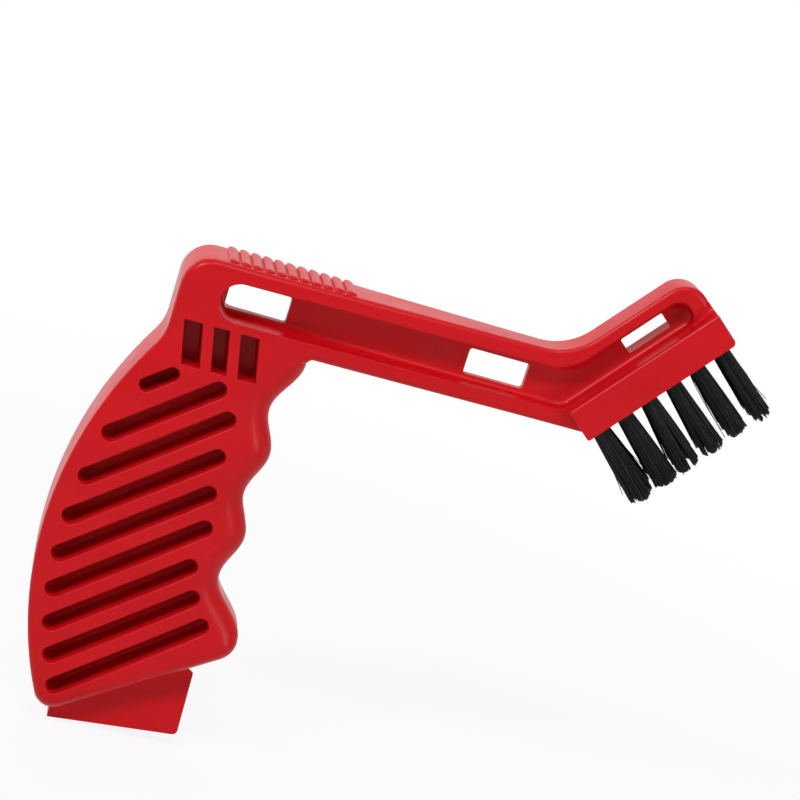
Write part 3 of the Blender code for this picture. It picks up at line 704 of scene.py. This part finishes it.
# Brush block
# The wide block that the bristles are set in is moulded on under the head's channel. Its top is a ledge that
# ends in a round ridge on each side, and its lower face has a blind hole for each tuft.
BLOCK_WIDTH = 0.0250
BLOCK_BACK_CORNER = 0.0008
BLOCK_FRONT_CORNER = 0.0016
BLOCK_EDGE = 0.00050
BLOCK_RIDGE = 0.0015
RIDGE_STEPS = 7
BLOCK_EDGE_ANGLE = math.radians(50.0)
LEDGE_FALL = 0.0875
COVE_SIZE = 0.0034
COVE_START_SHARE = 0.08
COVE_LEAD = 0.0022
COVE_BITE_SHARE = 0.30
COVE_SINK = 0.00002
COVE_STEPS = 8
TUFT_ROWS = 3
TUFT_COLUMNS = 6
TUFT_PITCH = 0.0090
ROW_PITCH = 0.0075
HOLE_RADIUS = 0.0025
HOLE_DEPTH = 0.0070
HOLE_MOUTH = 0.00025
HOLE_SIDES = 40


def brush_block():
    """The block, drawn out across the head from its side outline, with its edges rounded."""
    low_back = head_point(BLOCK_START, HEAD_DEPTH)
    low_front = head_point(HEAD_REACH, HEAD_DEPTH)
    high_front = head_point(HEAD_REACH, BLOCK_TOP_DEPTH)
    high_back = head_point(BLOCK_START, BLOCK_TOP_DEPTH)
    outline = rounded_corner(high_back, low_back, low_front, BLOCK_BACK_CORNER)
    outline += rounded_corner(low_back, low_front, high_front, BLOCK_FRONT_CORNER)
    outline += [high_front, high_back]
    bm = bmesh.new()
    near = bm.faces.new([bm.verts.new((point.x, -BLOCK_WIDTH / 2, point.y)) for point in outline])
    push(bm, near, (0, BLOCK_WIDTH, 0))
    bmesh.ops.bisect_plane(bm, geom=bm.verts[:] + bm.edges[:] + bm.faces[:], plane_no=(0, 1, 0))
    bmesh.ops.recalc_face_normals(bm, faces=bm.faces)
    down = Vector((HEAD_DOWN.x, 0, HEAD_DOWN.y))
    ledge_back = Vector((high_back.x, 0, high_back.y))
    top = [vertex for vertex in bm.verts if (vertex.co - ledge_back).dot(down) < BLOCK_EDGE]
    middle = [vertex for vertex in top if abs(vertex.co.y) < BLOCK_EDGE]
    bmesh.ops.translate(bm, verts=middle, vec=down * (LEDGE_FALL * BLOCK_WIDTH / 2))
    outer = [vertex for vertex in top if vertex not in middle]
    ridges = [edge for edge in bm.edges if edge.verts[0] in outer and edge.verts[1] in outer]
    round_edges(bm, ridges, BLOCK_RIDGE, RIDGE_STEPS)
    rims = [edge for edge in bm.edges if edge.calc_face_angle() > BLOCK_EDGE_ANGLE]
    round_edges(bm, rims, BLOCK_EDGE)
    return mesh_object("brush_block", bm)


def head_cove():
    """The hollow fillets between the ledge and the solid end of the head, which grow towards that end."""
    face = NECK_THICKNESS / 2 - COVE_SINK
    start = HEAD_REACH - HEAD_END_WALL - COVE_LEAD
    turns = quarter_turn(FILLET_STEPS)
    outline = [(-COVE_BITE_SHARE, COVE_BITE_SHARE), (-COVE_BITE_SHARE, -1)]
    outline += [(1 - math.cos(turn), math.sin(turn) - 1) for turn in turns] + [(1, COVE_BITE_SHARE)]
    bm = bmesh.new()
    station = bm.verts.layers.int.new("station")
    corners = [bm.verts.new((index, 0, 0)) for index in range(len(outline))]
    for index, corner in enumerate(corners):
        corner[station] = index
    front = bm.faces.new(corners)
    for step in range(COVE_STEPS + 1):
        if step:
            front = push(bm, front, (0, 0, 0))
        share = step / COVE_STEPS
        size = COVE_SIZE * (COVE_START_SHARE + (1 - COVE_START_SHARE) * (1 - math.cos(math.pi * share)) / 2)
        for vertex in front.verts:
            across, down = outline[vertex[station]]
            out = face + across * size
            depth = BLOCK_TOP_DEPTH + COVE_SINK + down * size + LEDGE_FALL * (BLOCK_WIDTH / 2 - out)
            place = head_point(start + (HEAD_REACH - HEAD_END_RECESS - start) * share, depth)
            vertex.co = (place.x, -out, place.y)
    bmesh.ops.mirror(bm, geom=bm.verts[:] + bm.edges[:] + bm.faces[:], axis="Y", merge_dist=COVE_SINK)
    bmesh.ops.triangulate(bm, faces=bm.faces)
    return mesh_object("head_cove", bm)


def tuft_frame(row, column):
    """The place of a tuft: its origin in the bristle face, its +X along the head, its +Z out of the block."""
    side_wall = (BLOCK_LENGTH - (TUFT_COLUMNS - 1) * TUFT_PITCH) / 2
    place = head_point(BLOCK_START + side_wall + column * TUFT_PITCH, HEAD_DEPTH)
    y = (row - (TUFT_ROWS - 1) / 2) * ROW_PITCH
    x_axis = Vector((HEAD_ALONG.x, 0, HEAD_ALONG.y))
    z_axis = Vector((HEAD_DOWN.x, 0, HEAD_DOWN.y))
    turn = Matrix((x_axis, z_axis.cross(x_axis), z_axis)).transposed()
    return Matrix.Translation((place.x, y, place.y)) @ turn.to_4x4()


def tuft_holes():
    """A blind hole for each tuft, with a slightly opened mouth."""
    bm = bmesh.new()
    for row in range(TUFT_ROWS):
        for column in range(TUFT_COLUMNS):
            place = tuft_frame(row, column)
            outward = place.to_3x3() @ Vector((0, 0, 1))
            bottom = place @ Matrix.Translation((0, 0, -HOLE_DEPTH))
            made = bmesh.ops.create_circle(bm, cap_ends=True, segments=HOLE_SIDES, radius=HOLE_RADIUS,
                                           matrix=bottom)
            wall = push(bm, made["verts"][0].link_faces[0], outward * (HOLE_DEPTH - HOLE_MOUTH))
            mouth = push(bm, wall, outward * HOLE_MOUTH)
            grow = (HOLE_RADIUS + HOLE_MOUTH) / HOLE_RADIUS
            bmesh.ops.scale(bm, verts=mouth.verts, vec=(grow, grow, grow), space=place.inverted())
            push(bm, mouth, outward * HOLE_MOUTH)
    return mesh_object("tuft_holes", bm)


combine(handle, brush_block(), "UNION")
combine(handle, head_cove(), "UNION")
combine(handle, tuft_holes(), "DIFFERENCE")


# Finish of the handle
# Glossy red moulded plastic, coloured right through. The melt ran along the arm, which leaves faint long
# streaks in the colour. The mould's polish leaves soft patches in the gloss and a very fine grain.
RED = (0.590, 0.0045, 0.0095, 1)
DEEP_RED = (0.525, 0.0030, 0.0070, 1)
RED_SPECULAR = 0.16
RED_ROUGHNESS = (0.26, 0.36)
CREASE_ANGLE = math.radians(32.0)

# Each finish has a fine and a broad noise, and both have a scale in marks to a metre
NOISE_DETAILS = (("Fine", 2.0), ("Broad", 4.0))
NOISE_LOW = 0.3
NOISE_HIGH = 0.7
UNSTRETCHED = (1, 1, 1)
STREAK_STRETCH = (14.0, 60.0, 60.0)
STREAK_SCALES = (40.0, 1.0)
GRAIN_SCALES = (1400.0, 90.0)
GRAIN_DEPTH = 0.000006


def surface_variation():
    """A node group for the fine texture and the broad patches that any moulded or drawn surface has."""
    group = bpy.data.node_groups.new("surface_variation", "ShaderNodeTree")
    group.interface.new_socket("Vector", in_out="INPUT", socket_type="NodeSocketVector")
    entry = group.nodes.new("NodeGroupInput")
    leave = group.nodes.new("NodeGroupOutput")
    for name, detail in NOISE_DETAILS:
        group.interface.new_socket(name + " Scale", in_out="INPUT", socket_type="NodeSocketFloat")
        group.interface.new_socket(name, in_out="OUTPUT", socket_type="NodeSocketFloat")
        noise = group.nodes.new("ShaderNodeTexNoise")
        noise.inputs["Detail"].default_value = detail
        group.links.new(entry.outputs["Vector"], noise.inputs["Vector"])
        group.links.new(entry.outputs[name + " Scale"], noise.inputs["Scale"])
        group.links.new(noise.outputs["Fac"], leave.inputs[name])
    return group


variation = surface_variation()


def add_variation(tree, stretch, fine_scale, broad_scale):
    """Places the variation group on the piece's own coordinates, stretched along the way it was made."""
    place = tree.nodes.new("ShaderNodeTexCoord")
    mapping = tree.nodes.new("ShaderNodeMapping")
    mapping.inputs["Scale"].default_value = stretch
    node = tree.nodes.new("ShaderNodeGroup")
    node.node_tree = variation
    node.inputs["Fine Scale"].default_value = fine_scale
    node.inputs["Broad Scale"].default_value = broad_scale
    tree.links.new(place.outputs["Object"], mapping.inputs["Vector"])
    tree.links.new(mapping.outputs["Vector"], node.inputs["Vector"])
    return node


def add_range(tree, source, low, high):
    """Turns the middle of a noise into the range from low to high."""
    node = tree.nodes.new("ShaderNodeMapRange")
    node.inputs["From Min"].default_value = NOISE_LOW
    node.inputs["From Max"].default_value = NOISE_HIGH
    node.inputs["To Min"].default_value = low
    node.inputs["To Max"].default_value = high
    tree.links.new(source, node.inputs["Value"])
    return node.outputs["Result"]


def add_mix(tree, factor, first, second):
    """Mixes two colours by a mask."""
    node = tree.nodes.new("ShaderNodeMix")
    node.data_type = "RGBA"
    node.inputs["A"].default_value = first
    node.inputs["B"].default_value = second
    tree.links.new(factor, node.inputs["Factor"])
    return node.outputs["Result"]


def add_bump(tree, shader, height, distance):
    """Turns a height into the shader's normal."""
    node = tree.nodes.new("ShaderNodeBump")
    node.inputs["Distance"].default_value = distance
    tree.links.new(height, node.inputs["Height"])
    tree.links.new(node.outputs["Normal"], shader.inputs["Normal"])


def new_finish(name):
    """A new material, with its tree and its shader."""
    material = bpy.data.materials.new(name)
    material.use_nodes = True
    return material, material.node_tree, material.node_tree.nodes["Principled BSDF"]


def red_plastic():
    """The handle's plastic."""
    material, tree, shader = new_finish("red_plastic")
    shader.inputs["Specular IOR Level"].default_value = RED_SPECULAR
    streaks = add_variation(tree, STREAK_STRETCH, *STREAK_SCALES)
    grain = add_variation(tree, UNSTRETCHED, *GRAIN_SCALES)
    mask = add_range(tree, streaks.outputs["Broad"], 0, 1)
    tree.links.new(add_mix(tree, mask, RED, DEEP_RED), shader.inputs["Base Color"])
    tree.links.new(add_range(tree, grain.outputs["Broad"], *RED_ROUGHNESS), shader.inputs["Roughness"])
    add_bump(tree, shader, grain.outputs["Fine"], GRAIN_DEPTH)
    return material


def finish_handle():
    """Smooths the moulding's faces but for its creases, and gives it its plastic."""
    bm = bmesh.new()
    bm.from_mesh(handle.data)
    bmesh.ops.triangulate(bm, faces=[face for face in bm.faces if len(face.verts) > 4])
    for face in bm.faces:
        face.smooth = True
    for edge in bm.edges:
        edge.smooth = edge.is_manifold and edge.calc_face_angle() < CREASE_ANGLE
    bm.to_mesh(handle.data)
    bm.free()
    shading = handle.modifiers.new("shading", "WEIGHTED_NORMAL")
    shading.keep_sharp = True
    handle.data.materials.clear()
    handle.data.materials.append(red_plastic())


finish_handle()
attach(handle, "root")
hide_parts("handle")


# Bristle tufts
# Each tuft is a bundle of black nylon bristles folded double and driven into its hole. They fan out from the
# block in small clumps, each cut to nearly the same length, with a few strays.
BRISTLE_COUNT = 300
BRISTLE_RADIUS = 0.000165
BRISTLE_TIP_SHARE = 0.72
BRISTLE_SIDES = 5
BRISTLE_STARTS = -0.0028
BRISTLE_LEVEL_SHARES = (0.0, 0.14, 0.36, 0.60, 0.82, 1.0)
BUNDLE_RADIUS = 0.00215
CLUMP_COUNT = 15
CLUMP_PLACE_SHARE = 0.94
CLUMP_PULL_SHARE = 0.42
CLUMP_RAGGED = 0.00060
AIM_JITTER_SHARE = 0.06
LENGTH_JITTER = 0.00035
BEND_JITTER = 0.00030
CURVE_POWER = 1.12
STRAY_SHARE = 0.035
STRAY_REACH = 0.0016
STRAY_BEND = 3
TIP_HALF_ACROSS = 0.0038
SEED_STEP = 100
ROW_LETTERS = "abc"

BLACK = (0.0014, 0.0014, 0.0020, 1)
FADED_BLACK = (0.0130, 0.0122, 0.0136, 1)
BRISTLE_SPECULAR = 0.2
BRISTLE_ROUGHNESS = (0.34, 0.50)
BRISTLE_SCALES = (1800.0, 160.0)
BRISTLE_GRAIN_DEPTH = 0.000010

# For each column: how far its tips lean along the head, half their spread along it, the bristles' length, how
# far the middle of the tip stands out, and how ragged it is
TUFT_COLUMN_FORMS = ((0.00015, 0.00500, 0.0268, 0.0014, 0.18), (-0.00050, 0.00440, 0.0270, 0.0008, 0.45),
                     (-0.00120, 0.00440, 0.0266, 0.0009, 0.50), (-0.00060, 0.00430, 0.0262, 0.0010, 0.45),
                     (-0.00015, 0.00390, 0.0258, 0.0004, 0.90), (-0.00015, 0.00330, 0.0254, 0.0, 1.25))


def disc_point(dice):
    """An evenly spread random point of the unit disc."""
    angle = dice.uniform(0, math.tau)
    return Vector((math.cos(angle), math.sin(angle))) * math.sqrt(dice.random())


def bristle_template():
    """One straight bristle: a ring extruded level by level, each level marked in a layer."""
    bm = bmesh.new()
    level_layer = bm.verts.layers.int.new("level")
    made = bmesh.ops.create_circle(bm, cap_ends=True, segments=BRISTLE_SIDES, radius=BRISTLE_RADIUS)
    tip = made["verts"][0].link_faces[0]
    for level in range(1, len(BRISTLE_LEVEL_SHARES)):
        tip = push(bm, tip, (0, 0, BRISTLE_LEVEL_SHARES[level]))
        for vertex in tip.verts:
            vertex[level_layer] = level
    bmesh.ops.recalc_face_normals(bm, faces=bm.faces)
    mesh = bpy.data.meshes.new("bristle")
    bm.to_mesh(mesh)
    bm.free()
    return mesh


def tuft(row, column, template):
    """One tuft of bristles in its hole."""
    dice = random.Random(SEED_STEP * row + column)
    place = tuft_frame(row, column)
    lean, half_along, length, dome, raggedness = TUFT_COLUMN_FORMS[column]
    spread = Vector((half_along, TIP_HALF_ACROSS))
    clumps = []
    for _ in range(CLUMP_COUNT):
        clumps.append((disc_point(dice) * CLUMP_PLACE_SHARE, dice.uniform(-1, 1) * CLUMP_RAGGED))
    count = BRISTLE_SIDES * len(BRISTLE_LEVEL_SHARES)
    bm = bmesh.new()
    bm.verts.layers.float.new("bristle_shade")
    for _ in range(BRISTLE_COUNT):
        root = disc_point(dice)
        aim, ragged = min(clumps, key=lambda clump: (clump[0] - root).length)
        aim = root.lerp(aim, CLUMP_PULL_SHARE) + disc_point(dice) * AIM_JITTER_SHARE
        bend = disc_point(dice) * BEND_JITTER
        reach = length + dome * (1 - 2 * root.length_squared)
        reach += (ragged + dice.uniform(-1, 1) * LENGTH_JITTER) * raggedness
        shade = dice.random()
        if dice.random() < STRAY_SHARE:
            aim += disc_point(dice) * (STRAY_REACH / half_along)
            bend *= STRAY_BEND
        tip = Vector((aim.x * spread.x + lean, aim.y * spread.y))
        bm.from_mesh(template)
        bm.verts.ensure_lookup_table()
        level_layer = bm.verts.layers.int["level"]
        shade_layer = bm.verts.layers.float["bristle_shade"]
        for vertex in bm.verts[-count:]:
            share = BRISTLE_LEVEL_SHARES[vertex[level_layer]]
            width = 1 + (BRISTLE_TIP_SHARE - 1) * share
            centre = (root * BUNDLE_RADIUS).lerp(tip, share ** CURVE_POWER) + bend * math.sin(math.pi * share)
            x = centre.x + vertex.co.x * width
            y = centre.y + vertex.co.y * width
            height = BRISTLE_STARTS + (reach - BRISTLE_STARTS) * share
            vertex.co = place @ Vector((x, y, height))
            vertex[shade_layer] = shade
    bm.verts.layers.int.remove(bm.verts.layers.int["level"])
    for face in bm.faces:
        face.smooth = len(face.verts) == 4
    return mesh_object("tuft_" + ROW_LETTERS[row] + str(column + 1), bm)


def black_bristle():
    """The bristles' nylon: nearly black, some bristles a little lighter, with a soft sheen."""
    material, tree, shader = new_finish("black_bristle")
    shader.inputs["Specular IOR Level"].default_value = BRISTLE_SPECULAR
    shade = tree.nodes.new("ShaderNodeAttribute")
    shade.attribute_name = "bristle_shade"
    colour = add_mix(tree, shade.outputs["Fac"], BLACK, FADED_BLACK)
    tree.links.new(colour, shader.inputs["Base Color"])
    grain = add_variation(tree, UNSTRETCHED, *BRISTLE_SCALES)
    tree.links.new(add_range(tree, grain.outputs["Broad"], *BRISTLE_ROUGHNESS), shader.inputs["Roughness"])
    add_bump(tree, shader, grain.outputs["Fine"], BRISTLE_GRAIN_DEPTH)
    return material


bristle_finish = black_bristle()
bristle_mesh = bristle_template()
for row in range(TUFT_ROWS):
    for column in range(TUFT_COLUMNS):
        bundle = tuft(row, column, bristle_mesh)
        bundle.data.materials.append(bristle_finish)
        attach(bundle, "root")
        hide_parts("bristle_" + bundle.name)


# Tuft anchors
# A flat piece of drawn wire goes through the fold of each tuft and bites into the sides of its hole. The
# solids have the right shape already, so they only get the look of drawn wire.
WIRE_BRIGHT = (0.62, 0.60, 0.56, 1)
WIRE_DULL = (0.50, 0.48, 0.45, 1)
WIRE_ROUGHNESS = (0.28, 0.42)
WIRE_STRETCH = (60, 900, 60)
WIRE_SCALES = (40.0, 4.0)
WIRE_LINE_DEPTH = 0.000008


def anchor_wire():
    """Bright drawn wire with fine lines along it."""
    material, tree, shader = new_finish("anchor_wire")
    shader.inputs["Metallic"].default_value = 1
    lines = add_variation(tree, WIRE_STRETCH, *WIRE_SCALES)
    mask = add_range(tree, lines.outputs["Broad"], 0, 1)
    tree.links.new(add_mix(tree, mask, WIRE_BRIGHT, WIRE_DULL), shader.inputs["Base Color"])
    tree.links.new(add_range(tree, lines.outputs["Fine"], *WIRE_ROUGHNESS), shader.inputs["Roughness"])
    add_bump(tree, shader, lines.outputs["Fine"], WIRE_LINE_DEPTH)
    return material


wire_finish = anchor_wire()
for name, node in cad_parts.items():
    if name.startswith("tuft_anchor"):
        for holder in node.material_slots:
            holder.material = wire_finish


# Stage
# A plain white floor just under the spur, in a white room with soft lamps: a key from the upper left, a strip
# above the front for the rims, a broad one high behind, and a strip at each side for the rounded edges.
FLOOR_GAP = 0.0002
FLOOR_HALF_SIDE = 2.5
FLOOR_COLOUR = (0.80, 0.80, 0.80, 1)
FLOOR_ROUGHNESS = 0.9
FLOOR_GLOW = 0.88
SHADOW_FADE_START = 0.20
SHADOW_FADE_END = 0.60
WHITE = (1, 1, 1, 1)
ROOM_LIGHT = 0.05

# Each lamp: its name, its place, the point that it shines on, its width and height, and its power in watts
LAMPS = (("key", (-0.60, -0.62, 0.80), (0.04, 0, 0), (0.28, 0.28), 7.0),
         ("top_front", (0.06, -0.50, 0.78), (0.06, 0, 0.03), (0.45, 0.10), 2.2),
         ("over_back", (0.10, 0.60, 0.85), (0.06, 0, 0.03), (0.90, 0.50), 4.4),
         ("left_back", (-0.80, 0.55, 0.25), (0, 0, 0), (0.15, 0.90), 3.8),
         ("right_front", (0.75, -0.75, 0.25), (0.05, 0, 0), (0.16, 0.70), 3.0))


def add_white_rays(tree):
    """A mask of the rays that see the background: from the camera, from gloss and through glass."""
    path = tree.nodes.new("ShaderNodeLightPath")
    mask = path.outputs["Is Camera Ray"]
    for name in ("Is Glossy Ray", "Is Transmission Ray"):
        either = tree.nodes.new("ShaderNodeMath")
        either.operation = "MAXIMUM"
        tree.links.new(mask, either.inputs[0])
        tree.links.new(path.outputs[name], either.inputs[1])
        mask = either.outputs[0]
    return mask


def floor_finish():
    """Matt white that keeps a soft shadow near the brush, and glows white where it is seen."""
    material, tree, shader = new_finish("white_floor")
    shader.inputs["Base Color"].default_value = FLOOR_COLOUR
    shader.inputs["Roughness"].default_value = FLOOR_ROUGHNESS
    shader.inputs["Specular IOR Level"].default_value = 0
    place = tree.nodes.new("ShaderNodeTexCoord")
    distance = tree.nodes.new("ShaderNodeVectorMath")
    distance.operation = "LENGTH"
    tree.links.new(place.outputs["Object"], distance.inputs[0])
    fade = tree.nodes.new("ShaderNodeMapRange")
    fade.interpolation_type = "SMOOTHSTEP"
    fade.inputs["From Min"].default_value = SHADOW_FADE_START
    fade.inputs["From Max"].default_value = SHADOW_FADE_END
    fade.inputs["To Min"].default_value = FLOOR_GLOW
    fade.inputs["To Max"].default_value = 1.0
    tree.links.new(distance.outputs["Value"], fade.inputs["Value"])
    glow = tree.nodes.new("ShaderNodeMath")
    glow.operation = "MULTIPLY"
    tree.links.new(add_white_rays(tree), glow.inputs[0])
    tree.links.new(fade.outputs["Result"], glow.inputs[1])
    light = tree.nodes.new("ShaderNodeEmission")
    mix = tree.nodes.new("ShaderNodeMixShader")
    tree.links.new(glow.outputs[0], mix.inputs["Fac"])
    tree.links.new(shader.outputs["BSDF"], mix.inputs[1])
    tree.links.new(light.outputs["Emission"], mix.inputs[2])
    tree.links.new(mix.outputs["Shader"], tree.nodes["Material Output"].inputs["Surface"])
    return material


def white_room():
    """The world: white where it is seen, dimmer as light on the object."""
    world = bpy.data.worlds.new("white_room")
    world.use_nodes = True
    tree = world.node_tree
    level = tree.nodes.new("ShaderNodeMapRange")
    level.inputs["To Min"].default_value = ROOM_LIGHT
    tree.links.new(add_white_rays(tree), level.inputs["Value"])
    tree.links.new(level.outputs["Result"], tree.nodes["Background"].inputs["Strength"])
    tree.nodes["Background"].inputs["Color"].default_value = WHITE
    bpy.context.scene.world = world


def add_lamp(name, place, aim, size, power):
    """A soft rectangular lamp that shines on a point."""
    lamp = bpy.data.lights.new(name, "AREA")
    lamp.shape = "RECTANGLE"
    lamp.size, lamp.size_y = size
    lamp.energy = power
    item = bpy.data.objects.new(name, lamp)
    item.location = place
    item.rotation_euler = (Vector(aim) - Vector(place)).to_track_quat("-Z", "Y").to_euler()
    item.visible_camera = False
    bpy.context.scene.collection.objects.link(item)


floor_mesh = bmesh.new()
bmesh.ops.create_grid(floor_mesh, x_segments=1, y_segments=1, size=FLOOR_HALF_SIDE,
                      matrix=Matrix.Translation((0, 0, packed_low.z - FLOOR_GAP)))
floor = mesh_object("floor", floor_mesh)
floor.data.materials.append(floor_finish())
white_room()
for lamp in LAMPS:
    add_lamp(*lamp)


# Camera
# The camera looks from slightly above the arm and a little to the left of square on, and is rolled so that
# the arm falls to the right. The lens and its sensor are in millimetres.
CAMERA_AIM = (0.066, 0, 0.045)
CAMERA_DISTANCE = 0.78125
CAMERA_RISE = math.radians(15.4)
CAMERA_SIDE = math.radians(-5.4)
CAMERA_ROLL = math.radians(-17.2)
LENS_LENGTH = 112.5
SENSOR_WIDTH = 36

lens = bpy.data.cameras.new("camera")
lens.lens = LENS_LENGTH
lens.sensor_width = SENSOR_WIDTH
camera = bpy.data.objects.new("camera", lens)
camera.matrix_world = (Matrix.Translation(CAMERA_AIM) @ Matrix.Rotation(CAMERA_ROLL, 4, "Y")
                       @ Matrix.Rotation(CAMERA_SIDE, 4, "Z")
                       @ Matrix.Rotation(math.pi / 2 - CAMERA_RISE, 4, "X")
                       @ Matrix.Translation((0, 0, CAMERA_DISTANCE)))
bpy.context.scene.collection.objects.link(camera)
bpy.context.scene.camera = camera
bpy.context.scene.view_settings.view_transform = "Standard"
